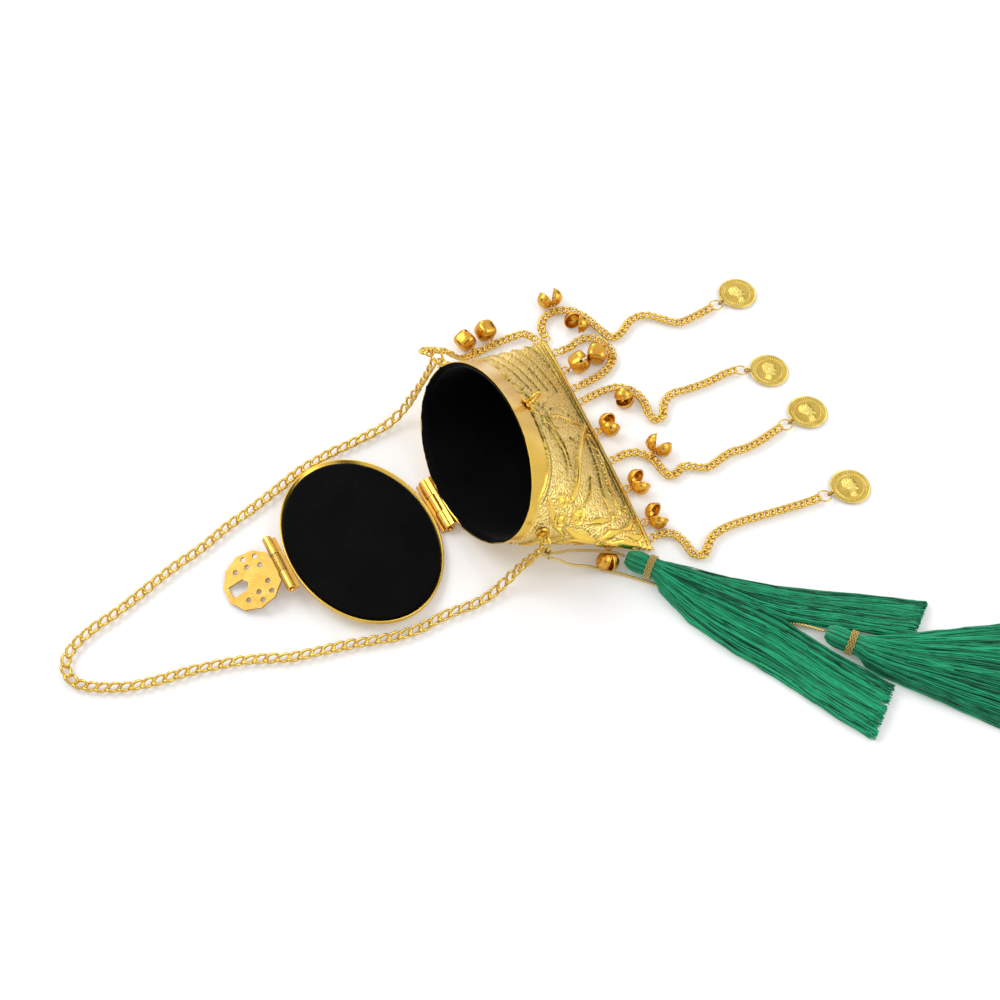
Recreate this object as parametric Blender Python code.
"""Rigid potli clutch: an embossed sheet metal bag with a hinged lid, a hasp, a chain handle,
and a fringe of curb chains, bells, coins and two tassels, lying on its back with the lid open.

X runs from the hinge towards the bag's straight bottom edge (the ridge), Y along the hinge, Z up.
The layout is drawn with the hinge axis above the origin and is moved at the end so that the
origin is the middle of the object's base."""

import math

import bmesh
import bpy
from mathutils import Matrix, Vector

MM = 0.001
SEAT_GAP = 0.3 * MM
FLOOR_GAP = 0.1 * MM

# Sheet metal bag
SHEET = 0.8 * MM
MOUTH_HALF_LENGTH = 55.0 * MM
MOUTH_HALF_WIDTH = 41.5 * MM
MOUTH_LEAN = math.radians(28.5)
MOUTH_SHIFT = -3.0 * MM
RIM_SETBACK = 5.6 * MM
RIDGE_CENTRE_X = 101.5 * MM
RIDGE_CENTRE_Y = -2.5 * MM
RIDGE_HALF_LENGTH = 78.0 * MM
RIDGE_SKEW = math.radians(5.5)
RIDGE_HALF_THICK = 2.2 * MM
CAVITY_DEPTH = 0.955
SHELL_COLUMNS = 44
CAVITY_COLUMNS = 28
BEAD_HEIGHT = 0.5 * MM
RIB_HEIGHT = 0.9 * MM
RIB_PLACES = (0.74, 0.82, 0.90)
RIB_HALF_WIDTH = 0.022
BLOSSOM_HEIGHT = 1.0 * MM

# Velvet linings
VELVET = 0.8 * MM
LINING_GAP = 0.55 * MM
LINING_DEPTH = 0.9
LID_PAD_THICK = 1.6 * MM

# Lid
LID_OVERHANG = 0.75 * MM
LID_SKIRT = 2.4 * MM
LID_DOME = 6.7 * MM
LID_REST_TILT = math.radians(5.0)
CLOSING_GAP = 0.4 * MM
LID_COLUMNS = 30

# Main hinge and hasp hinge
HINGE_RADIUS = 3.1 * MM
HINGE_LENGTH = 34.0 * MM
HASP_HINGE_RADIUS = 2.6 * MM
HASP_HINGE_LENGTH = 35.0 * MM
PIN_RADIUS = 1.1 * MM
PIN_CLEARANCE = 0.3 * MM
PIN_OVERRUN = 1.4 * MM
KNUCKLE_GAP = 0.4 * MM
SWEEP_CLEARANCE = 0.4 * MM
HASP_SETBACK = 5.2 * MM
HASP_CENTRE_Y = 0.0
HASP_LENGTH = 34.0 * MM
HASP_HALF_WIDTH = 18.0 * MM
HASP_THICK = 1.2 * MM
HASP_SLOT_AT = 25.0 * MM
HASP_SLOT_LENGTH = 11.0 * MM
HASP_SLOT_WIDTH = 7.5 * MM
HASP_LEAN_IN = math.radians(6.0)
HASP_HOLE_RADIUS = 1.7 * MM
HASP_HOLES = ((9.5, 5.5), (10.0, 12.0), (16.5, 8.5), (16.5, 14.0), (23.5, 9.5))

# Staple on the front wall
STAPLE_HEIGHT = 10.0 * MM
STAPLE_LOOP = 5.4 * MM
STAPLE_BAND = 3.4 * MM
STAPLE_WALL = 1.3 * MM
ROSETTE_RADIUS = 4.5 * MM
ROSETTE_THICK = 1.3 * MM

# Lugs, their rings and the eyes for the fringe
LUG_PLATE_RADIUS = 4.0 * MM
LUG_PLATE_THICK = 0.8 * MM
LUG_EYE_RADIUS = 2.2 * MM
LUG_WIRE = 0.7 * MM
LUG_RING_RADIUS = 4.5 * MM
LUG_RING_WIRE = 0.8 * MM
LUG_FAR_AT = (0.04, math.radians(16.0))
LUG_NEAR_AT = (0.15, math.radians(180.0))
HANGING = Vector((-0.42, 0.0, -0.907)).normalized()
EYE_RADIUS = 2.2 * MM
EYE_WIRE = 0.55 * MM
EYE_SUNK = 0.6 * MM
EYE_LIFT = 0.5 * MM

# Chains
LINK_GAP = 0.3 * MM
HOOK_CLEARANCE = 0.35 * MM
HANDLE_PITCH = 8.2 * MM
HANDLE_WIRE = 0.9 * MM
HANDLE_LINK_HALF_WIDTH = 1.9 * MM
FRINGE_PITCH = 6.6 * MM
FRINGE_WIRE = 0.75 * MM
FRINGE_LINK_HALF_WIDTH = 1.6 * MM
RING_HALF_WIDTH = 3.2 * MM
CHAIN_HEIGHT = 2.9

# Charms
BELL_RADIUS = 5.4 * MM
BELL_WALL = 0.7 * MM
BELL_SLIT = 1.2 * MM
JAW_HALF_ANGLE = math.radians(24.0)
JAW_ROOT = 3.0 * MM
COIN_RADIUS = 11.5 * MM
COIN_THICK = 1.2 * MM
COIN_RIM = 1.1 * MM
COIN_TILT = math.radians(3.5)
CHARM_EYE_RADIUS = 1.5 * MM
CHARM_EYE_WIRE = 0.45 * MM

# Tassels and their cords
CORD_RADIUS = 0.8 * MM
KNOT_RADIUS = 3.0 * MM
KNOT_LENGTH = 3.2 * MM
KNOT_TURN = 62.0
KNOT_CLEARANCE = 0.9 * MM
BAND_LENGTH = 3.5 * MM
BAND_WALL = 1.0 * MM
NECK_RADIUS = 6.0 * MM
TASSEL_HEAD = 17.0 * MM
TASSEL_STRIPS = 12
TUNNEL = 2.5 * MM

# Routes over the floor, in millimetres, read from the photograph of the laid-out bag.
HANDLE_ROUTE = [(24.3, 59.3, 40), (17.5, 62, 23), (9, 63.3, 9), (-4, 61.5, 3.6), (-23, 60, 3), (-40, 59, 3),
                (-58, 56, 3), (-73, 51, 3), (-91, 45, 3), (-109, 40, 3), (-127, 33.5, 3), (-145, 29, 3),
                (-163, 23, 3), (-181, 17, 3), (-197, 13, 3), (-209, 8, 3), (-216, 2, 3), (-218.5, -6, 3),
                (-216, -14, 3), (-209, -20, 3), (-200, -25, 3), (-190, -29, 3), (-176, -32, 3),
                (-162, -34, 3), (-148, -37, 3), (-134, -41, 3), (-121, -46, 3), (-111, -50.5, 3),
                (-97, -54, 3), (-83, -57, 3), (-69, -61, 3), (-54, -65, 3), (-40, -66, 3), (-29, -65, 3),
                (-18, -65.5, 3), (-7, -66, 3), (3, -64.5, 3.6), (12.5, -62.5, 7), (20, -63.5, 16),
                (25.5, -66, 25)]
COIN_ROUTES = [
    [(111, 86), (117, 91.5), (125, 92), (133, 88), (138, 79), (141, 68), (144.5, 59.5), (151, 60),
     (160, 65.5), (170, 65.5), (178, 58), (185, 51.5), (195, 51), (205, 52), (216, 53.6, 2.4)],
    [(114, 27.3), (123, 27.3), (131, 25), (137, 17.5), (138, 9), (136.5, 1), (138, -4.5), (143, -3.5),
     (147.5, 3), (155, 7.3), (166, 6), (178, 5.3), (190, 6), (197, 5.3), (203.5, 2.6, 2.4)],
    [(110, -17.3), (117, -19.5), (122.5, -27), (123.7, -35), (125.5, -41.5), (131, -41.5), (136, -39.5),
     (142, -43.5), (148, -46.5), (157, -44.8), (165, -43.5), (174, -45), (184, -44.2), (194, -42.3),
     (206.5, -40.4, 2.4)],
    [(104.5, -73.3), (109, -77.5), (111, -84), (111.5, -91.5), (116, -95), (121, -91.5), (127, -87),
     (137, -85.5), (149, -86.5), (162, -88.5), (175, -90.5), (187, -92), (200, -92.6, 2.4)]]
SWAG_ROUTE = [(118, 64.2), (127, 66.3), (135, 63.5), (139, 55), (137.5, 46), (130, 40), (120, 37.5), (114, 37)]
SIDE_ROUTE = [(42, 71, 36), (48, 77, 22), (56, 81, 10), (64, 84.5, 4), (72, 86, 2.9), (82, 86.5, 2.9),
              (91, 86.5, 3.2), (98.5, 84.5, 4.5)]
CORD_STARTS = (Vector((2.7, 0.4, -3.1)) * MM, Vector((0.6, -1.8, -3.7)) * MM)
CORD_1_ROUTE = [(39, -71.8, 29), (44, -71, 25.5), (50, -71, 21.5), (57, -72, 17.5), (64, -74, 14.5),
                (70.8, -76.2, 11.2), (75.4, -78.6, 8.0)]
CORD_2_ROUTE = [(36.5, -75, 27.5), (41, -75, 21), (47, -74.5, 13.5), (54, -74.5, 7.5), (62, -78, 3), (70, -84, 1.3),
                (78, -92, 0.95), (90, -105, 0.95), (105, -121, 0.95), (120, -137, 0.95), (133, -150, 1.6),
                (140.5, -157.6, 4.2), (147.6, -166.9, 7.1)]

# Ridge eyes by their place along the ridge, wall eyes by their place on the sheet.
FAR_END_EYE = 1.0
SWAG_EYES = (0.87, 0.51)
COIN_EYES = (None, 0.38, -0.19, -0.90)
BELL_EYES = ((0.69, "closed"), (0.085, "open"), (-0.455, "open"), (-0.765, "open"))
WALL_EYES = {"side": ((0.925, math.radians(4.0)), Vector((-0.15, 0.98, 0.0))),
             "bell": ((0.70, math.radians(200.0)), Vector((-0.50, -0.80, -0.25)))}

# Each tassel's middle line, and its spread to the left and right at its rows (distances from the head).
TASSEL_ROWS = (0.0, 4.0, 9.0, 12.4, 17.0, 24.0, 45.0, 75.0, 92.0, 108.0, 130.0, 158.0)
TASSEL_1 = {"route": [(76, -79.3), (173.3, -203.8)],
            "left": (8.0, 11.0, 17.5, 23.0, 28.5, 36.0, 45.0),
            "right": (9.0, 19.0, 26.5, 29.5, 32.5, 38.0, 43.5),
            "fork": ((-2.5, 5.5), (-8.5, 12.0), (-14.5, 18.0), (-19.0, 28.0))}
TASSEL_2 = {"route": [(148, -167.5), (158.8, -182), (171, -192.5), (190, -206.5), (230, -235.5), (272, -265)],
            "left": (8.0, 14.0, 23.0, 28.0, 33.0, 40.0, 47.0),
            "right": (8.5, 16.0, 25.5, 31.0, 36.0, 43.5, 51.0),
            "fork": None}


def clear_scene():
    for item in list(bpy.data.objects):
        bpy.data.objects.remove(item, do_unlink=True)


def material(name, colour, roughness, metallic):
    mat = bpy.data.materials.new(name)
    mat.use_nodes = True
    shader = mat.node_tree.nodes["Principled BSDF"]
    shader.inputs["Base Color"].default_value = (*colour, 1.0)
    shader.inputs["Roughness"].default_value = roughness
    shader.inputs["Metallic"].default_value = metallic
    return mat


def finish_mesh(name, bm, mat, smooth=35.0):
    """Turn a bmesh into a named object whose faces point outwards."""
    bmesh.ops.remove_doubles(bm, verts=bm.verts, dist=1e-7)
    bmesh.ops.recalc_face_normals(bm, faces=bm.faces)
    mesh = bpy.data.meshes.new(name)
    bm.to_mesh(mesh)
    bm.free()
    mesh.shade_smooth()
    mesh.set_sharp_from_angle(angle=math.radians(smooth))
    mesh.materials.append(mat)
    obj = bpy.data.objects.new(name, mesh)
    bpy.context.scene.collection.objects.link(obj)
    return obj


def combine(target, tool, operation):
    """Join or cut with an exact Boolean, keep the result on the target and drop the tool."""
    modifier = target.modifiers.new(operation.lower(), "BOOLEAN")
    modifier.operation = operation
    modifier.solver = "EXACT"
    modifier.object = tool
    depsgraph = bpy.context.evaluated_depsgraph_get()
    result = bpy.data.meshes.new_from_object(target.evaluated_get(depsgraph))
    bm = bmesh.new()
    bm.from_mesh(result)
    bmesh.ops.remove_doubles(bm, verts=bm.verts, dist=5e-6)
    bmesh.ops.dissolve_degenerate(bm, dist=2e-6, edges=bm.edges)
    bm.to_mesh(result)
    bm.free()
    target.modifiers.clear()
    old = target.data
    target.data = result
    bpy.data.meshes.remove(old)
    bpy.data.objects.remove(tool, do_unlink=True)
    return target


def loft(rings, start_tip=None, end_tip=None, bulge=1):
    """A skin of triangles over successive rings, closed at each end by a tip or a flat face.

    A twisted four-cornered patch is folded outwards, or inwards where bulge is -1."""
    bm = bmesh.new()
    loops = [[bm.verts.new(point) for point in ring] for ring in rings]
    for first, second in zip(loops, loops[1:]):
        count = len(first)
        middle = sum((v.co for v in first + second), Vector()) / (2 * count)
        for i in range(count):
            j = (i + 1) % count
            fold = first[i].co + second[j].co - first[j].co - second[i].co
            out = (first[i].co + second[j].co) / 2 - middle
            if fold.dot(out) * bulge >= 0:
                bm.faces.new((first[i], first[j], second[j]))
                bm.faces.new((first[i], second[j], second[i]))
            else:
                bm.faces.new((first[i], first[j], second[i]))
                bm.faces.new((first[j], second[j], second[i]))
    for loop, tip in ((loops[0], start_tip), (loops[-1], end_tip)):
        if tip is None:
            bm.faces.new(loop)
        else:
            apex = bm.verts.new(tip)
            for i in range(len(loop)):
                bm.faces.new((loop[i], loop[(i + 1) % len(loop)], apex))
    return bm


def tube_mesh(radius, length, sides):
    """A cylinder along Z about the origin."""
    bm = bmesh.new()
    bmesh.ops.create_cone(bm, cap_ends=True, segments=sides, radius1=radius, radius2=radius, depth=length)
    return bm


def rod(name, start, end, radius, sides, mat):
    """A cylinder from one point to another."""
    start, end = Vector(start), Vector(end)
    bm = tube_mesh(radius, (end - start).length, sides)
    turn = (end - start).to_track_quat("Z", "Y").to_matrix().to_4x4()
    bmesh.ops.transform(bm, matrix=Matrix.Translation((start + end) / 2) @ turn, verts=bm.verts)
    return finish_mesh(name, bm, mat)


def ring_mesh(radius, wire, segments, sides):
    """A round ring about Z: a small circle spun once round."""
    bm = bmesh.new()
    bmesh.ops.create_circle(bm, segments=sides, radius=wire,
                            matrix=Matrix.Translation((radius, 0, 0)) @ Matrix.Rotation(math.pi / 2, 4, "X"))
    bmesh.ops.spin(bm, geom=bm.edges[:] + bm.verts[:], cent=(0, 0, 0), axis=(0, 0, 1),
                   angle=2 * math.pi, steps=segments, use_merge=True)
    return bm


def ring(name, centre, axis, radius, wire, segments, sides, mat):
    bm = ring_mesh(radius, wire, segments, sides)
    turn = Vector(axis).to_track_quat("Z", "Y").to_matrix().to_4x4()
    bmesh.ops.transform(bm, matrix=Matrix.Translation(centre) @ turn, verts=bm.verts)
    return finish_mesh(name, bm, mat)


def prism(name, outline, thickness, frame, mat):
    """A flat outline in a frame's XY plane, made solid by the same amount each side of it."""
    bm = bmesh.new()
    face = bm.faces.new([bm.verts.new((x, y, -thickness / 2)) for x, y in outline])
    grown = bmesh.ops.extrude_face_region(bm, geom=[face])
    lifted = [item for item in grown["geom"] if isinstance(item, bmesh.types.BMVert)]
    bmesh.ops.translate(bm, verts=lifted, vec=(0, 0, thickness))
    bmesh.ops.transform(bm, matrix=frame, verts=bm.verts)
    return finish_mesh(name, bm, mat)


def frame_at(origin, x_axis, y_axis):
    x_axis = Vector(x_axis).normalized()
    z_axis = x_axis.cross(Vector(y_axis)).normalized()
    y_axis = z_axis.cross(x_axis)
    turn = Matrix((x_axis, y_axis, z_axis)).transposed().to_4x4()
    return Matrix.Translation(origin) @ turn


def smooth_curve(points, step):
    """Points at an even spacing on a smooth curve through the given ones."""
    points = [Vector(p) for p in points]
    ends = [points[0] * 2 - points[1]] + points + [points[-1] * 2 - points[-2]]
    fine = []
    for i in range(len(points) - 1):
        p0, p1, p2, p3 = ends[i:i + 4]
        for k in range(24):
            t = k / 24
            fine.append(0.5 * ((2 * p1) + (p2 - p0) * t + (2 * p0 - 5 * p1 + 4 * p2 - p3) * t * t
                               + (3 * p1 - p0 - 3 * p2 + p3) * t ** 3))
    fine.append(points[-1])
    lengths = [0.0]
    for a, b in zip(fine, fine[1:]):
        lengths.append(lengths[-1] + (b - a).length)

    def at(distance):
        distance = min(max(distance, 0.0), lengths[-1])
        i = 1
        while i < len(lengths) - 1 and lengths[i] < distance:
            i += 1
        span = lengths[i] - lengths[i - 1]
        return fine[i - 1].lerp(fine[i], (distance - lengths[i - 1]) / span)

    if step is None:
        return at, lengths[-1]
    count = max(2, round(lengths[-1] / step))
    return [at(lengths[-1] * i / count) for i in range(count + 1)]


def in_metres(route):
    return [Vector((p[0], p[1], p[2] if len(p) > 2 else CHAIN_HEIGHT)) * MM for p in route]


# Frames that the pieces share

Y_AXIS = Vector((0, 1, 0))
Z_AXIS = Vector((0, 0, 1))
HINGE = Vector((0, 0, HINGE_RADIUS + FLOOR_GAP))
MOUTH_UP = Vector((math.sin(MOUTH_LEAN), 0, math.cos(MOUTH_LEAN)))
MOUTH_OUT = Vector((-math.cos(MOUTH_LEAN), 0, math.sin(MOUTH_LEAN)))
MOUTH_CENTRE = HINGE + MOUTH_UP * (RIM_SETBACK + MOUTH_HALF_WIDTH) + Y_AXIS * MOUTH_SHIFT
LID_AWAY = Vector((-math.cos(LID_REST_TILT), 0, math.sin(LID_REST_TILT)))
LID_OUT = Vector((-math.sin(LID_REST_TILT), 0, -math.cos(LID_REST_TILT)))
LID_HALF_LENGTH = MOUTH_HALF_LENGTH + LID_OVERHANG
LID_HALF_WIDTH = MOUTH_HALF_WIDTH + LID_OVERHANG
LID_CENTRE = HINGE + LID_AWAY * (RIM_SETBACK + MOUTH_HALF_WIDTH) + Y_AXIS * MOUTH_SHIFT
HASP_AXIS = LID_CENTRE + LID_AWAY * (LID_HALF_WIDTH + HASP_SETBACK)
HASP_AXIS = Vector((HASP_AXIS.x, HASP_CENTRE_Y, HASP_AXIS.z))
RIDGE_ALONG = Vector((math.sin(RIDGE_SKEW), math.cos(RIDGE_SKEW), 0))
RIDGE_OUT = Vector((math.cos(RIDGE_SKEW), -math.sin(RIDGE_SKEW), 0))
RIDGE_CENTRE = Vector((RIDGE_CENTRE_X, RIDGE_CENTRE_Y, RIDGE_HALF_THICK + FLOOR_GAP))
LID_CLOSE_ANGLE = math.pi - LID_REST_TILT - (math.pi / 2 - MOUTH_LEAN)


def mouth_point(turn, inset=0.0):
    return (MOUTH_CENTRE + Y_AXIS * (MOUTH_HALF_LENGTH - inset) * math.cos(turn)
            + MOUTH_UP * (MOUTH_HALF_WIDTH - inset) * math.sin(turn))


def ridge_point(turn, inset=0.0, half_thick=RIDGE_HALF_THICK):
    return (RIDGE_CENTRE + RIDGE_ALONG * (RIDGE_HALF_LENGTH - inset) * math.cos(turn)
            + Z_AXIS * half_thick * math.sin(turn))


def turns_round(count):
    """Places round the mouth, closer together at its two ends where the sheet twists most."""
    even = [2 * math.pi * (i + 0.5) / count for i in range(count)]
    return [turn - 0.22 * math.sin(2 * turn) for turn in even]


def wall_point(along, turn):
    """A point of the sheet's outer face: along from mouth (0) to ridge (1), turn round the mouth."""
    return mouth_point(turn).lerp(ridge_point(turn), along)


def wall_normal(along, turn):
    small = 1e-3
    down = wall_point(along + small, turn) - wall_point(along - small, turn)
    around = wall_point(along, turn + small) - wall_point(along, turn - small)
    return around.cross(down).normalized()


def closed_hasp_frame():
    """Where the hasp lies when lid and hasp are closed: its axis and the way the plate points."""
    turn = Matrix.Rotation(LID_CLOSE_ANGLE, 3, "Y")
    axis = HINGE + turn @ (HASP_AXIS - HINGE)
    wall = (ridge_point(math.pi / 2) - mouth_point(math.pi / 2))
    wall = Vector((wall.x, 0, wall.z)).normalized()
    down = Matrix.Rotation(HASP_LEAN_IN, 3, "Y") @ wall
    return axis, down


def rest_hasp_direction():
    """The plate droops from its axis until its tip meets the floor."""
    drop = (HASP_AXIS.z - HASP_THICK / 2 - FLOOR_GAP * 3) / HASP_LENGTH
    return Vector((-math.sqrt(1 - drop * drop), 0, -drop))


# Bag

def relief(along, turn):
    """Height of the embossing at a place on the wall: a bead by the mouth, three ribs, blossoms."""
    front = 0.5 + 0.5 * math.tanh(3.0 * math.sin(turn))
    height = BEAD_HEIGHT * math.exp(-((along - 0.16) / 0.012) ** 2)
    for place in RIB_PLACES:
        height += RIB_HEIGHT * front * math.exp(-((along - place) / RIB_HALF_WIDTH) ** 2)
    for place, angle, size in ((0.44, 62, 0.085), (0.40, 96, 0.07), (0.46, 128, 0.085), (0.38, 30, 0.07)):
        away = math.hypot(along - place, (turn - math.radians(angle)) * 0.42)
        height += BLOSSOM_HEIGHT * math.exp(-(away / size) ** 4)
    return height


def body_shell(gold):
    turns = turns_round(SHELL_COLUMNS)
    places = [0.0, 0.02, 0.14, 0.16, 0.18, 0.28, 0.36, 0.44, 0.52, 0.62, 0.70,
              0.74, 0.78, 0.82, 0.86, 0.90, 0.94, 1.0]
    lip = -MOUTH_OUT * (CLOSING_GAP / 2)
    rings = []
    for along in places:
        rings.append([wall_point(along, t) + wall_normal(max(along, 0.01), t) * relief(along, t)
                      + (lip if along == 0.0 else Vector()) for t in turns])
    shell = finish_mesh("body_shell", loft(rings), gold)

    cavity = []
    for along in (-0.05, 0.0, 0.25, 0.5, 0.75, LINING_DEPTH, CAVITY_DEPTH):
        cavity.append([mouth_point(t, SHEET).lerp(ridge_point(t, SHEET * 3, RIDGE_HALF_THICK * 0.35), along)
                       for t in turns_round(CAVITY_COLUMNS)])
    combine(shell, finish_mesh("cavity", loft(cavity, bulge=-1), gold), "DIFFERENCE")

    for base, out in ridge_eye_places() + wall_eye_places():
        eye = ring("eye", eye_centre(base, out), eye_axis(out), EYE_RADIUS, EYE_WIRE, 8, 3, gold)
        combine(shell, eye, "UNION")
    return shell


def ridge_place(share):
    """A point on the ridge's outer edge and the way out from it."""
    if share >= FAR_END_EYE:
        return RIDGE_CENTRE + RIDGE_ALONG * RIDGE_HALF_LENGTH, RIDGE_ALONG
    return RIDGE_CENTRE + RIDGE_ALONG * RIDGE_HALF_LENGTH * share, RIDGE_OUT


def ridge_eye_places():
    shares = [FAR_END_EYE] + list(SWAG_EYES) + [s for s in COIN_EYES if s is not None]
    shares += [share for share, kind in BELL_EYES]
    return [ridge_place(share) for share in shares]


def wall_eye_places():
    return [(wall_point(*place), out.normalized()) for place, out in WALL_EYES.values()]


def eye_centre(base, out):
    return base + out * (EYE_RADIUS - EYE_SUNK) + Z_AXIS * EYE_LIFT


def eye_axis(out):
    side = out.cross(Z_AXIS).normalized()
    return side.cross(out)


def eye_hook(base, out):
    """The middle of the eye's outer wire, where a link or a charm hangs."""
    return eye_centre(base, out) + out * EYE_RADIUS


def body_lining(velvet):
    turns = turns_round(CAVITY_COLUMNS)

    def skin(inset, half_thick, along):
        return [mouth_point(t, inset).lerp(ridge_point(t, inset + SHEET * 3, half_thick), along) for t in turns]

    outer = SHEET + LINING_GAP
    inner = outer + VELVET
    rings = [skin(outer, RIDGE_HALF_THICK * 0.1, along) for along in (LINING_DEPTH, 0.75, 0.5, 0.25, 0.01)]
    rings += [skin(inner, 0.0, along) for along in (0.01, 0.25, 0.5, 0.75, LINING_DEPTH - 0.04)]
    return finish_mesh("body_lining", loft(rings, bulge=-1), velvet)


def oval_ring(half_length, half_width, depth, count):
    """A ring of the lid, as deep below its rim plane as given."""
    points = []
    for i in range(count):
        t = 2 * math.pi * (i + 0.5) / count
        points.append(LID_CENTRE + Y_AXIS * half_length * math.cos(t) - LID_AWAY * half_width * math.sin(t)
                      + LID_OUT * depth)
    return points


def lid_shell(gold):
    rise = LID_DOME - LID_SKIRT
    edge = CLOSING_GAP / 2
    profile = [(1.0, edge), (1.0, LID_SKIRT), (0.94, LID_SKIRT + rise * 0.2), (0.76, LID_SKIRT + rise * 0.42),
               (0.42, LID_SKIRT + rise * 0.74)]
    rings = [oval_ring(LID_HALF_LENGTH * f, LID_HALF_WIDTH * f, depth, LID_COLUMNS)
             for f, depth in reversed(profile)]
    for f, depth in profile:
        inner_depth = depth if depth == edge else depth - SHEET
        rings.append(oval_ring(LID_HALF_LENGTH * f - SHEET, LID_HALF_WIDTH * f - SHEET, inner_depth, LID_COLUMNS))
    centre = LID_CENTRE + LID_OUT * (LID_DOME + 0.1 * MM)
    return finish_mesh("lid_shell", loft(rings, centre, LID_CENTRE + LID_OUT * (LID_DOME - SHEET)), gold)


def lid_lining(velvet):
    inset = SHEET + SEAT_GAP
    profile = [(inset, CLOSING_GAP), (inset, CLOSING_GAP + LID_PAD_THICK * 0.3), (inset + 3 * MM, LID_PAD_THICK + CLOSING_GAP)]
    rings = [oval_ring(LID_HALF_LENGTH - d, LID_HALF_WIDTH - d, depth, LID_COLUMNS) for d, depth in profile]
    return finish_mesh("lid_lining", loft(rings), velvet)


# Hinges

def knuckle_spans(length, centre_y):
    """The three knuckles' ends along Y: first, middle and last."""
    low, third = centre_y - length / 2, length / 3
    half_gap = KNUCKLE_GAP / 2
    return [(low + third * i + (half_gap if i else 0), low + third * (i + 1) - (half_gap if i < 2 else 0))
            for i in range(3)]


def hinge_leaf(name, axis, radius, length, centre_y, own, outline, frame, mat):
    """A leaf with its own knuckles, bored for the pin and cut clear of the other leaf's knuckles."""
    spans = knuckle_spans(length, centre_y)
    leaf = prism(name, outline, length - KNUCKLE_GAP, frame, mat)
    for i, (low, high) in enumerate(spans):
        if i not in own:
            start, end = Vector((axis.x, low - KNUCKLE_GAP, axis.z)), Vector((axis.x, high + KNUCKLE_GAP, axis.z))
            combine(leaf, rod("clear", start, end, radius + SWEEP_CLEARANCE, 16, mat), "DIFFERENCE")
    for i in own:
        low, high = spans[i]
        knuckle = rod("knuckle", (axis.x, low, axis.z), (axis.x, high, axis.z), radius, 14, mat)
        combine(leaf, knuckle, "UNION")
    low, high = spans[0][0] - MM, spans[2][1] + MM
    bore = rod("bore", (axis.x, low, axis.z), (axis.x, high, axis.z), PIN_RADIUS + PIN_CLEARANCE, 10, mat)
    return combine(leaf, bore, "DIFFERENCE")


def pin(name, axis, length, centre_y, mat):
    half = length / 2 + PIN_OVERRUN
    return rod(name, (axis.x, centre_y - half, axis.z), (axis.x, centre_y + half, axis.z), PIN_RADIUS, 8, mat)


def hinge_body_leaf(gold):
    """The strap rises from the barrel and runs on under the back wall."""
    rim = wall_point(0.0, -math.pi / 2) - HINGE
    end = wall_point(0.16, -math.pi / 2) - HINGE
    gap = SEAT_GAP + BEAD_HEIGHT * 0.3
    strap = 0.9 * MM
    outline = [(0.6 * MM, HINGE_RADIUS * 0.93), (rim.x, rim.z - 1.0 * MM), (end.x, end.z - gap),
               (end.x, end.z - gap - strap), (rim.x + 0.5 * MM, rim.z - 1.0 * MM - strap), (2.0 * MM, 1.2 * MM)]
    return hinge_leaf("hinge_body_leaf", HINGE, HINGE_RADIUS, HINGE_LENGTH, 0.0, (0, 2), outline,
                      frame_at(HINGE, (1, 0, 0), (0, 0, 1)), gold)


def hinge_lid_leaf(gold):
    """A flange outside the lid's skirt, carried by the middle knuckle."""
    reach = RIM_SETBACK - LID_OVERHANG - SEAT_GAP
    outline = [(1.2 * MM, 0.9 * MM), (reach, 0.9 * MM), (reach, 2.6 * MM), (1.2 * MM, 2.6 * MM)]
    return hinge_leaf("hinge_lid_leaf", HINGE, HINGE_RADIUS, HINGE_LENGTH, 0.0, (1,), outline,
                      frame_at(HINGE, LID_AWAY, LID_OUT), gold)


def hasp_bracket(gold):
    reach = HASP_SETBACK - SEAT_GAP
    outline = [(0.9 * MM, 0.6 * MM), (reach, 0.6 * MM), (reach, 2.2 * MM), (0.9 * MM, 2.2 * MM)]
    return hinge_leaf("hasp_bracket", HASP_AXIS, HASP_HINGE_RADIUS, HASP_HINGE_LENGTH, HASP_CENTRE_Y, (0, 2),
                      outline, frame_at(HASP_AXIS, -LID_AWAY, LID_OUT), gold)


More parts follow.
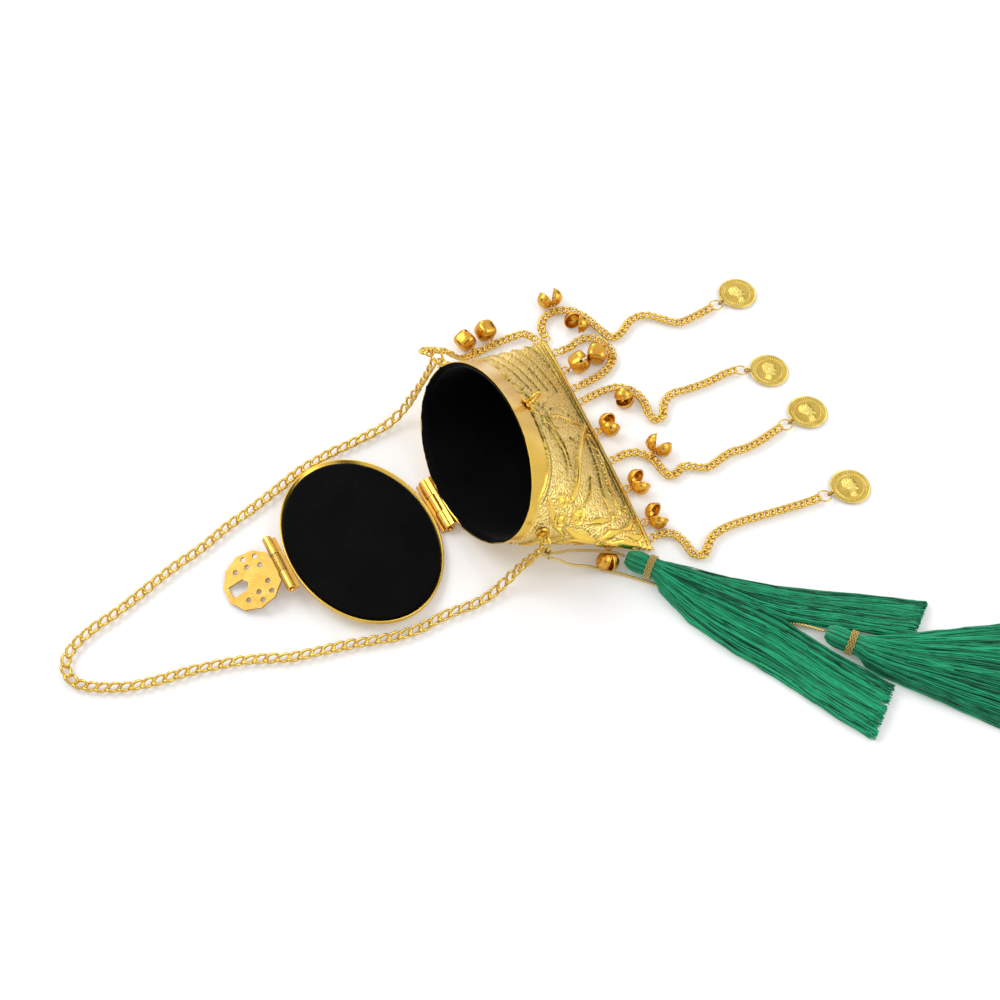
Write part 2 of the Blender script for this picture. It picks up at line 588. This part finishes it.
def hasp_plate(gold):
    """A scalloped, pierced plate with a slot for the staple and the hinge's middle knuckle."""
    along = rest_hasp_direction()
    frame = frame_at(HASP_AXIS, along, Y_AXIS)
    middle = HASP_LENGTH / 2
    outline = []
    lobes = 11
    steps = lobes * 4
    for i in range(steps):
        t = 2 * math.pi * i / steps
        swell = 1.0 - 0.055 * abs(math.cos(lobes * t / 2))
        x = max(middle + middle * swell * math.cos(t), HASP_HINGE_RADIUS + SWEEP_CLEARANCE)
        outline.append((x, HASP_HALF_WIDTH * swell * math.sin(t)))
    plate = prism("hasp_plate", outline, HASP_THICK, frame, gold)
    spans = knuckle_spans(HASP_HINGE_LENGTH, HASP_CENTRE_Y)
    half = (spans[1][1] - spans[1][0]) / 2
    root = [(0.0, -half), (6 * MM, -half), (6 * MM, half), (0.0, half)]
    combine(plate, prism("root", root, HASP_THICK * 0.9, frame, gold), "UNION")
    low, high = spans[1]
    knuckle = rod("knuckle", (HASP_AXIS.x, low, HASP_AXIS.z), (HASP_AXIS.x, high, HASP_AXIS.z),
                  HASP_HINGE_RADIUS, 14, gold)
    combine(plate, knuckle, "UNION")
    bore = rod("bore", (HASP_AXIS.x, low - MM, HASP_AXIS.z), (HASP_AXIS.x, high + MM, HASP_AXIS.z),
               PIN_RADIUS + PIN_CLEARANCE, 10, gold)
    combine(plate, bore, "DIFFERENCE")
    slot_half = HASP_SLOT_LENGTH / 2
    side = HASP_SLOT_WIDTH / 2
    slot = [(HASP_SLOT_AT - slot_half, 0), (HASP_SLOT_AT - slot_half * 0.6, -side),
            (HASP_SLOT_AT + slot_half, -side), (HASP_SLOT_AT + slot_half, side),
            (HASP_SLOT_AT - slot_half * 0.6, side)]
    combine(plate, prism("slot", slot, HASP_THICK * 4, frame, gold), "DIFFERENCE")
    for x, y in HASP_HOLES:
        for sign in (-1, 1):
            hole = [(x * MM + HASP_HOLE_RADIUS * math.cos(a), sign * y * MM + HASP_HOLE_RADIUS * math.sin(a))
                    for a in (math.pi / 3 * k for k in range(6))]
            combine(plate, prism("hole", hole, HASP_THICK * 4, frame, gold), "DIFFERENCE")
    return plate


def staple(gold):
    """A flat band bent into a loop on a rosette, where the closed hasp's slot comes down over it."""
    axis, down = closed_hasp_frame()
    normal = Vector((-down.z, 0, down.x))
    slot = axis + down * (HASP_SLOT_AT - 0.6 * MM)
    wall = mouth_point(math.pi / 2)
    wall_down = (ridge_point(math.pi / 2) - wall)
    wall_down = Vector((wall_down.x, 0, wall_down.z)).normalized()
    wall_out = Vector((-wall_down.z, 0, wall_down.x))
    stand = (slot - wall).dot(wall_out)
    foot = slot - wall_out * stand + wall_out * (SEAT_GAP + 0.2 * MM)
    foot.y = HASP_CENTRE_Y
    base = rod("staple", foot, foot + wall_out * ROSETTE_THICK, ROSETTE_RADIUS, 12, gold)
    outer, inner, height = STAPLE_LOOP / 2, STAPLE_LOOP / 2 - STAPLE_WALL, STAPLE_HEIGHT
    sunk = ROSETTE_THICK * 0.4
    outline = [(-outer, sunk), (-outer, height - 1.6 * MM), (-outer * 0.6, height), (outer * 0.6, height),
               (outer, height - 1.6 * MM), (outer, sunk), (inner, sunk), (inner, height - 2.4 * MM),
               (inner * 0.5, height - STAPLE_WALL), (-inner * 0.5, height - STAPLE_WALL),
               (-inner, height - 2.4 * MM), (-inner, sunk)]
    band = prism("band", outline, STAPLE_BAND, frame_at(foot, down, normal), gold)
    return combine(base, band, "UNION")


# Lugs

def lug_places():
    """For each end of the mouth: the wall point, the way out, and the loose ring's centre."""
    places = {}
    for name, at in (("far", LUG_FAR_AT), ("near", LUG_NEAR_AT)):
        wall = wall_point(*at)
        normal = wall_normal(*at)
        out = (normal - HANGING * normal.dot(HANGING)).normalized()
        eye = wall + normal * (SEAT_GAP + BEAD_HEIGHT + LUG_PLATE_THICK) + out * LUG_EYE_RADIUS * 0.85
        places[name] = (wall, out, eye, eye + out * LUG_RING_RADIUS, normal)
    return places


def lug(name, place, gold):
    wall, out, eye, centre, normal = place
    seat = wall + normal * (SEAT_GAP + BEAD_HEIGHT)
    plate = rod(name, seat, seat + normal * LUG_PLATE_THICK, LUG_PLATE_RADIUS, 10, gold)
    loop = ring("loop", eye, HANGING, LUG_EYE_RADIUS, LUG_WIRE, 8, 4, gold)
    return combine(plate, loop, "UNION")


def lug_ring(name, place, gold):
    wall, out, eye, centre, normal = place
    return ring(name, centre, out.cross(HANGING), LUG_RING_RADIUS, LUG_RING_WIRE, 12, 5, gold)


def lug_spoke(place, degrees):
    """The way from the loose ring's centre to its wire, turned up from its lowest point."""
    turn = math.radians(degrees)
    return HANGING * math.cos(turn) + place[1] * math.sin(turn)


def lug_hook(place, degrees=0.0):
    return place[3] + lug_spoke(place, degrees) * LUG_RING_RADIUS


def lug_ring_axis(place):
    return place[1].cross(HANGING).normalized()


# Chains

def link_outline(half_length, half_width, round_ring):
    """Corners of a link, or of a wider ring whose sides bulge to where a bell hangs."""
    if not round_ring:
        return [(half_length, half_width), (-half_length, half_width),
                (-half_length, -half_width), (half_length, -half_width)]
    shoulder = half_width * 0.55
    return [(half_length, shoulder), (0.0, half_width), (-half_length, shoulder),
            (-half_length, -shoulder), (0.0, -half_width), (half_length, -shoulder)]


def add_link(bm, centre, along, across, outline, wire):
    """One closed link with a three-sided wire, flat side inwards; returns its rows of vertices."""
    normal = along.cross(across)
    rows = []
    count = len(outline)
    for k, (x, y) in enumerate(outline):
        before, after = outline[k - 1], outline[(k + 1) % count]
        edge = Vector((after[0] - before[0], after[1] - before[1]))
        out = along * edge.y - across * edge.x
        out = out.normalized() * -1
        middle = centre + along * x + across * y
        if out.dot(middle - centre) < 0:
            out = -out
        rows.append([bm.verts.new(middle + out * wire),
                     bm.verts.new(middle - out * wire * 0.5 + normal * wire * 0.866),
                     bm.verts.new(middle - out * wire * 0.5 - normal * wire * 0.866)])
    faces = {}
    for k in range(count):
        a, b = rows[k], rows[(k + 1) % count]
        for m in range(3):
            n = (m + 1) % 3
            faces[(k, m)] = bm.faces.new((a[m], a[n], b[n], b[m]))
    return faces


def bridge(bm, first, second):
    """Open two facing faces and join their edges by a short neck, so that two links are one body."""
    a, b = list(first.verts), list(reversed(second.verts))
    shift = min(range(4), key=lambda s: sum((a[i].co - b[(i + s) % 4].co).length for i in range(4)))
    bm.faces.remove(first)
    bm.faces.remove(second)
    for i in range(4):
        j = (i + 1) % 4
        bm.faces.new((a[i], a[j], b[(j + shift) % 4], b[(i + shift) % 4]))


def eased_roll(wanted, share):
    """A roll between the one wanted at a chain's end and the even 45 degrees of its run."""
    away = (wanted - 45.0 + 90.0) % 180.0 - 90.0
    return away * share


def link_frame(at, station, half):
    along = (at(station + half * 0.8) - at(station - half * 0.8)).normalized()
    side = along.cross(Z_AXIS).normalized()
    return at(station), along, side, side.cross(along)


def roll_of(frame, across):
    centre, along, side, up = frame
    return math.degrees(math.atan2(across.dot(up), across.dot(side)))


def chain(name, route, pitch, wire, half_width, mat, start, end, bells=()):
    """A chain of interlocked links along a route. Returns it with the places where bells hang.

    Start and end give the wire the end link hangs on (none at a coin) and the link's width direction."""
    start_wire, start_across = start
    end_wire, end_across = end
    at, length = smooth_curve(route, None)
    hold = start_wire + HOOK_CLEARANCE + wire / 2
    tail = (end_wire + HOOK_CLEARANCE + wire / 2) if end_wire is not None else 0.0
    count = round((length - wire - LINK_GAP + hold + tail) / pitch)
    pitch = (length - wire - LINK_GAP + hold + tail) / count
    half = (pitch + wire + LINK_GAP) / 2
    stations = [half - hold + pitch * i for i in range(count)]
    frames = [link_frame(at, station, half) for station in stations]
    rolls = []
    for i in range(count):
        roll = 45.0 + 90.0 * i
        if i < 2:
            roll += eased_roll(roll_of(frames[0], start_across), 1 - i / 2)
        if count - 1 - i < 2:
            roll += eased_roll(roll_of(frames[-1], end_across) - 90.0 * (count - 1), 1 - (count - 1 - i) / 2)
        rolls.append(math.radians(roll))
    hosts = {}
    for x, y, left in bells:
        odd = 1 if left else 0
        choices = [i for i in range(3, count - 3) if i % 2 == odd and i not in hosts]
        best = min(choices, key=lambda i: (at(stations[i]).xy - Vector((x, y)) * MM).length)
        hosts[best] = left
    bm = bmesh.new()
    previous = None
    hangers = []
    for i in range(count):
        centre, along, side, up = frames[i]
        across = side * math.cos(rolls[i]) + up * math.sin(rolls[i])
        wide = i in hosts or (end_wire is None and i == count - 1)
        outline = link_outline(half, RING_HALF_WIDTH if wide else half_width, wide)
        faces = add_link(bm, centre, along, across, outline, wire)
        if previous is not None:
            bridge(bm, previous, faces[(len(outline) // 2 - 1, 1)])
        previous = faces[(len(outline) - 1, 1)]
        if i in hosts:
            sign = 1 if across.z > 0 else -1
            hook = centre + across * RING_HALF_WIDTH * sign
            out = side * (1 if (across * sign).dot(side) > 0 else -1)
            hangers.append((hook, out))
    obj = finish_mesh(name, bm, mat, smooth=50.0)
    end_along = (at(length) - at(length - half)).normalized()
    return obj, hangers, end_along


# Charms

def transformed(bm, matrix):
    bmesh.ops.transform(bm, matrix=matrix, verts=bm.verts)
    return bm


def bell_centre():
    return CHARM_EYE_RADIUS + CHARM_EYE_WIRE * 0.4 + BELL_RADIUS * 0.96


def sphere(name, radius, mat, segments=8, rows=6):
    bm = bmesh.new()
    bmesh.ops.create_uvsphere(bm, u_segments=segments, v_segments=rows, radius=radius)
    turn = Matrix.Translation((bell_centre(), 0, 0)) @ Matrix.Rotation(math.pi / 2, 4, "Y")
    return finish_mesh(name, transformed(bm, turn), mat)


def closed_bell_mesh(gold):
    """A round jingle bell with its slit away from the eye."""
    bell = sphere("closed_bell", BELL_RADIUS, gold)
    combine(bell, ring("eye", (0, 0, 0), Y_AXIS, CHARM_EYE_RADIUS, CHARM_EYE_WIRE, 8, 3, gold), "UNION")
    tip = bell_centre() + BELL_RADIUS
    half = BELL_RADIUS * 1.2
    outline = [(tip - BELL_RADIUS * 0.55, -half), (tip + MM, -half), (tip + MM, half),
               (tip - BELL_RADIUS * 0.55, half)]
    slit = prism("slit", outline, BELL_SLIT, frame_at((0, 0, 0), (1, 0, 0), (0, 1, 0)), gold)
    return take_mesh(combine(bell, slit, "DIFFERENCE"))


def open_bell_mesh(gold):
    """A hollow bell whose two half domes gape away from the eye."""
    bell = sphere("open_bell", BELL_RADIUS, gold)
    combine(bell, sphere("hollow", BELL_RADIUS - BELL_WALL, gold), "DIFFERENCE")
    combine(bell, ring("eye", (0, 0, 0), Y_AXIS, CHARM_EYE_RADIUS, CHARM_EYE_WIRE, 8, 3, gold), "UNION")
    reach = bell_centre() + BELL_RADIUS + MM
    rise = (reach - JAW_ROOT) * math.tan(JAW_HALF_ANGLE)
    outline = [(JAW_ROOT, 0.0), (reach, rise), (reach, -rise)]
    jaw = prism("jaw", outline, BELL_RADIUS * 3, frame_at((0, 0, 0), (1, 0, 0), (0, 0, 1)), gold)
    return take_mesh(combine(bell, jaw, "DIFFERENCE"))


def coin_mesh(brass):
    """A struck disc with a raised rim on both faces and a loop on its edge."""
    centre = CHARM_EYE_RADIUS + CHARM_EYE_WIRE * 0.2 + COIN_RADIUS
    bm = tube_mesh(COIN_RADIUS, COIN_THICK, 20)
    caps = [face for face in bm.faces if len(face.verts) > 4]
    bmesh.ops.inset_individual(bm, faces=caps, thickness=COIN_RIM, depth=0.0)
    for face in caps:
        bmesh.ops.translate(bm, verts=face.verts, vec=face.normal * -0.22 * MM)
    coin = finish_mesh("coin", transformed(bm, Matrix.Translation((centre, 0, 0))), brass)
    combine(coin, ring("eye", (0, 0, 0), Y_AXIS, CHARM_EYE_RADIUS, CHARM_EYE_WIRE, 8, 3, brass), "UNION")
    return take_mesh(coin)


def take_mesh(obj):
    mesh = obj.data
    bpy.data.objects.remove(obj, do_unlink=True)
    return mesh


def place_charm(name, mesh, hook, out, droop):
    """Put a charm's eye round the wire at a hook, pointing out, turned down about its own hinge."""
    obj = bpy.data.objects.new(name, mesh)
    bpy.context.scene.collection.objects.link(obj)
    heading = math.atan2(out.y, out.x)
    obj.matrix_world = (Matrix.Translation(hook) @ Matrix.Rotation(heading, 4, "Z")
                        @ Matrix.Rotation(droop, 4, "Y"))
    return obj


def rest_droop(hook, reach, radius):
    """The turn that lays a charm of the given reach and radius on the floor."""
    drop = hook.z - radius - FLOOR_GAP * 2
    return math.asin(max(-1.0, min(1.0, drop / reach)))


# Tassels and cords

def cord(name, route, mat):
    """A plain round cord: a curve with a bevel along a smooth route."""
    points = smooth_curve(route, CORD_RADIUS * 6)
    curve = bpy.data.curves.new(name, "CURVE")
    curve.dimensions = "3D"
    curve.bevel_depth = CORD_RADIUS
    curve.bevel_resolution = 2
    curve.use_fill_caps = True
    spline = curve.splines.new("POLY")
    spline.points.add(len(points) - 1)
    for slot, point in zip(spline.points, points):
        slot.co = (*point, 1.0)
    curve.materials.append(mat)
    obj = bpy.data.objects.new(name, curve)
    bpy.context.scene.collection.objects.link(obj)
    return obj


def cord_knot(place, mat):
    """A hitch of the cord round the near ring's wire."""
    middle = lug_hook(place, KNOT_TURN)
    tangent = lug_spoke(place, KNOT_TURN + 90.0)
    start, end = middle - tangent * KNOT_LENGTH / 2, middle + tangent * KNOT_LENGTH / 2
    knot = rod("cord_knot", start, end, KNOT_RADIUS, 12, mat)
    bore = rod("bore", start - tangent * MM, end + tangent * MM, LUG_RING_WIRE + KNOT_CLEARANCE, 8, mat)
    return combine(knot, bore, "DIFFERENCE")


def tassel_frames(shape):
    """Middle point and side direction of every row."""
    route = [Vector((x, y, 0)) * MM for x, y in shape["route"]]
    at, length = smooth_curve(route, None)
    frames = []
    for row in TASSEL_ROWS:
        distance = min(row * MM, length)
        ahead = at(min(distance + MM, length)) - at(distance - MM)
        along = ahead.normalized()
        frames.append((at(distance), along, Vector((-along.y, along.x, 0))))
    return frames


def tassel(name, shape, mat):
    """A fan of thread lying on the floor, gathered at its neck, with shallow flutes and a forked end."""
    frames = tassel_frames(shape)
    head_sizes = (0.55, 1.02, 1.05, 1.0, 1.0)
    rows = []
    neck = NECK_RADIUS - 1.5 * SEAT_GAP
    heads = len(head_sizes)
    for r, (middle, along, side) in enumerate(frames):
        top, low = [], []
        for c in range(TASSEL_STRIPS + 1):
            across = 2 * c / TASSEL_STRIPS - 1
            if r < heads:
                theta = across * math.pi / 2 * 0.9
                size = neck * head_sizes[r]
                lateral = size * math.sin(theta)
                rise = size * math.cos(theta)
                z_mid = NECK_RADIUS + BAND_WALL + FLOOR_GAP * 2
                z_top, z_low = z_mid + rise, z_mid - rise
            else:
                spread = (r - heads) / (len(frames) - 1 - heads)
                reach = shape["left" if across > 0 else "right"][r - heads] * MM
                lateral = across * reach
                if shape["fork"] and r >= len(frames) - 4:
                    lower, upper = (v * MM for v in shape["fork"][r - len(frames) + 4])
                    if across < 0:
                        lateral = lower + (across + 1 / 6) * 6 / 5 * (reach + lower)
                    else:
                        lateral = upper + (across - 1 / 6) * 6 / 5 * (reach - upper)
                dome = math.sqrt(max(0.0, 1 - across * across))
                flute = 0.45 * MM * (1 if c % 2 else -1)
                z_top = FLOOR_GAP * 3 + 2.2 * MM + (6.0 * (1 - spread) ** 2 + 3.4) * MM * dome + flute
                z_low = FLOOR_GAP * 3 + (TUNNEL if shape["fork"] and abs(across) < 0.9 else 0.0)
                if r == heads:
                    z_low = max(z_low, FLOOR_GAP * 3 + 2.6 * MM * (1 - across * across))
            point = middle + side * lateral
            top.append(Vector((point.x, point.y, z_top)))
            low.append(Vector((point.x, point.y, z_low)))
        rows.append((top, low))
    bm = bmesh.new()
    skins = [[[bm.verts.new(point) for point in row[k]] for row in rows] for k in (0, 1)]
    split = TASSEL_STRIPS // 2

    def kept(r, c):
        return not (shape["fork"] and r >= len(frames) - 4 and c in (split - 1, split))

    for k, skin in enumerate(skins):
        for r in range(len(frames) - 1):
            for c in range(TASSEL_STRIPS):
                if kept(r, c):
                    bm.faces.new((skin[r][c], skin[r][c + 1], skin[r + 1][c + 1], skin[r + 1][c]))
    border = [edge for edge in bm.edges if len(edge.link_faces) == 1]
    pairs = {a: b for a, b in zip((v for row in skins[0] for v in row), (v for row in skins[1] for v in row))}
    for edge in border:
        first, second = edge.verts
        if first in pairs and second in pairs:
            bm.faces.new((first, second, pairs[second], pairs[first]))
    bmesh.ops.delete(bm, geom=[v for v in bm.verts if not v.link_faces], context="VERTS")
    return finish_mesh(name, bm, mat)


def tassel_band(name, shape, mat):
    """The wound band: a short tube round the tassel's neck."""
    frames = tassel_frames(shape)
    middle = (frames[3][0] + frames[4][0]) / 2 + Z_AXIS * (NECK_RADIUS + BAND_WALL + FLOOR_GAP * 2)
    half = frames[4][1] * BAND_LENGTH / 2
    band = rod(name, middle - half, middle + half, NECK_RADIUS + BAND_WALL, 14, mat)
    bore = rod("bore", middle - half * 2, middle + half * 2, NECK_RADIUS, 14, mat)
    return combine(band, bore, "DIFFERENCE")


# Assembly

def build():
    clear_scene()
    gold = material("polished_brass", (0.80, 0.55, 0.16), 0.22, 1.0)
    chain_gold = material("chain_brass", (0.76, 0.52, 0.15), 0.3, 1.0)
    coin_gold = material("struck_brass", (0.86, 0.66, 0.20), 0.35, 1.0)
    velvet = material("black_velvet", (0.008, 0.008, 0.010), 0.9, 0.0)
    thread = material("green_thread", (0.004, 0.22, 0.08), 0.5, 0.0)
    wound = material("gold_thread", (0.55, 0.38, 0.12), 0.5, 0.3)

    body_shell(gold)
    body_lining(velvet)
    lid = [lid_shell(gold), lid_lining(velvet)]
    hinge_body_leaf(gold)
    lid.append(hinge_lid_leaf(gold))
    pin("hinge_pin", HINGE, HINGE_LENGTH, 0.0, gold)
    lid.append(hasp_bracket(gold))
    lid.append(pin("hasp_pin", HASP_AXIS, HASP_HINGE_LENGTH, HASP_CENTRE_Y, gold))
    plate = hasp_plate(gold)
    staple(gold)
    lugs = lug_places()
    for end in ("far", "near"):
        lug("lug_" + end, lugs[end], gold)
        lug_ring("lug_ring_" + end, lugs[end], chain_gold)

    far_hook, near_hook = lug_hook(lugs["far"]), lug_hook(lugs["near"])
    route = [far_hook] + in_metres(HANDLE_ROUTE) + [near_hook]
    handle, _, _ = chain("handle_chain", route, HANDLE_PITCH, HANDLE_WIRE, HANDLE_LINK_HALF_WIDTH, chain_gold,
                         (LUG_RING_WIRE, lug_ring_axis(lugs["far"])), (LUG_RING_WIRE, lug_ring_axis(lugs["near"])))

    hangers = []
    side_start = lug_hook(lugs["far"], KNOT_TURN)
    side_next = side_start + lug_spoke(lugs["far"], KNOT_TURN) * FRINGE_PITCH
    fringe = (FRINGE_PITCH, FRINGE_WIRE, FRINGE_LINK_HALF_WIDTH, chain_gold)
    upright = (EYE_WIRE, Z_AXIS)
    wall_eyes = dict(zip(WALL_EYES, wall_eye_places()))
    route = [side_start, side_next] + in_metres(SIDE_ROUTE) + [eye_hook(*wall_eyes["side"])]
    _, found, _ = chain("side_chain", route, *fringe, (LUG_RING_WIRE, lug_ring_axis(lugs["far"])), upright,
                        ((72, 86, True), (91, 86.5, True)))
    hangers += [("closed", *item) for item in found]
    swag_ends = [eye_hook(*ridge_place(share)) for share in SWAG_EYES]
    route = [swag_ends[0]] + in_metres(SWAG_ROUTE) + [swag_ends[1]]
    _, found, _ = chain("swag_chain", route, *fringe, upright, upright, ((139, 51, False),))
    hangers += [("closed", *item) for item in found]

    coin_bells = [((124, 92, True), (138, 79, False)), ((133, 22, False),), ((121, -24, True),), ()]
    coin_hooks = []
    for i, points in enumerate(COIN_ROUTES):
        share = COIN_EYES[i]
        start = eye_hook(*ridge_place(FAR_END_EYE if share is None else share))
        route = [start] + in_metres(points)
        flat = Z_AXIS.cross(route[-1] - route[-2])
        _, found, along = chain("coin_chain_%d" % (i + 1), route, *fringe, upright, (None, flat), coin_bells[i])
        hangers += [("open", *item) for item in found]
        coin_hooks.append((route[-1], along))
    for share, kind in BELL_EYES:
        base, out = ridge_place(share)
        hangers.append((kind, eye_hook(base, out), out))
    base, out = wall_eyes["bell"]
    hangers.append(("open", eye_hook(base, out), Vector((out.x, out.y, 0)).normalized()))

    meshes = {"closed": closed_bell_mesh(gold), "open": open_bell_mesh(gold)}
    for i, (kind, hook, out) in enumerate(hangers):
        droop = rest_droop(hook, bell_centre(), BELL_RADIUS)
        place_charm("bell_%d" % (i + 1), meshes[kind], hook, out, droop)
    coin = coin_mesh(coin_gold)
    for i, (hook, along) in enumerate(coin_hooks):
        place_charm("coin_%d" % (i + 1), coin, hook, Vector((along.x, along.y, 0)).normalized(), COIN_TILT)

    cord_knot(lugs["near"], wound)
    for i, shape in enumerate((TASSEL_1, TASSEL_2)):
        tassel("tassel_%d" % (i + 1), shape, thread)
        tassel_band("tassel_band_%d" % (i + 1), shape, wound)
    knot = lug_hook(lugs["near"], KNOT_TURN)
    for i, route in enumerate((CORD_1_ROUTE, CORD_2_ROUTE)):
        cord("tassel_cord_%d" % (i + 1), [knot + CORD_STARTS[i]] + in_metres(route), wound)
    hinged = {"lid": (HINGE, lid), "hasp": (HASP_AXIS, [plate]), "handle": (far_hook, [handle])}
    for origin, pieces in hinged.values():
        for piece in pieces:
            move_origin(piece, origin)
    centre_on_base()


def move_origin(obj, origin):
    """Put a moving piece's own origin on its joint's axis without moving its shape."""
    obj.data.transform(Matrix.Translation(-origin))
    obj.location = origin


def centre_on_base():
    """Move everything so that the origin is the middle of the base, tassels and their cords apart."""
    bpy.context.view_layer.update()
    corners = [item.matrix_world @ vert.co for item in bpy.data.objects
               if item.type == "MESH" and not item.name.startswith(("tassel", "cord")) for vert in item.data.vertices]
    low = Vector([min(c[i] for c in corners) for i in range(3)])
    high = Vector([max(c[i] for c in corners) for i in range(3)])
    shift = Vector(((low.x + high.x) / 2, (low.y + high.y) / 2, low.z))
    for item in bpy.data.objects:
        item.location -= shift


if __name__ == "__main__":
    build()
